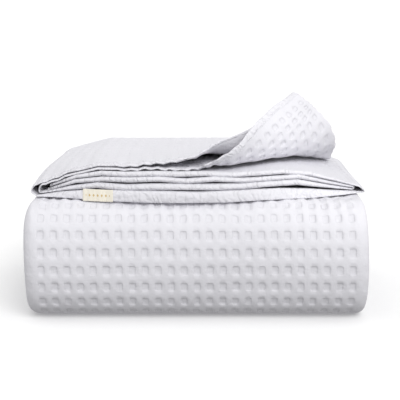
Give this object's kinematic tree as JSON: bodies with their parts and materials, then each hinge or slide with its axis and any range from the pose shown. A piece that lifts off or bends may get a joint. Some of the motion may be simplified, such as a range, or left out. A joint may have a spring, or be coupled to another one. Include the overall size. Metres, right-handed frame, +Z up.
{
  "type": "folded blanket",
  "caption": "White waffle weave cotton blanket, folded back and forth into a block with its hems in front, the top corner turned up and a small woven label.",
  "frame": {"origin": "middle of the footprint, on the surface that the folded blanket rests on", "axes": "+X to the right along the block's long side, +Y to the back, +Z up; the rounded fold and the hems face -Y"},
  "size_m": [0.4288, 0.3334, 0.2705],
  "materials": {
    "waffle_cotton": "matte waffle weave",
    "label_weave": "fine satin weave"
  },
  "bodies": {
    "root": {"blanket": "waffle_cotton", "label": "label_weave"}
  },
  "joints": []
}
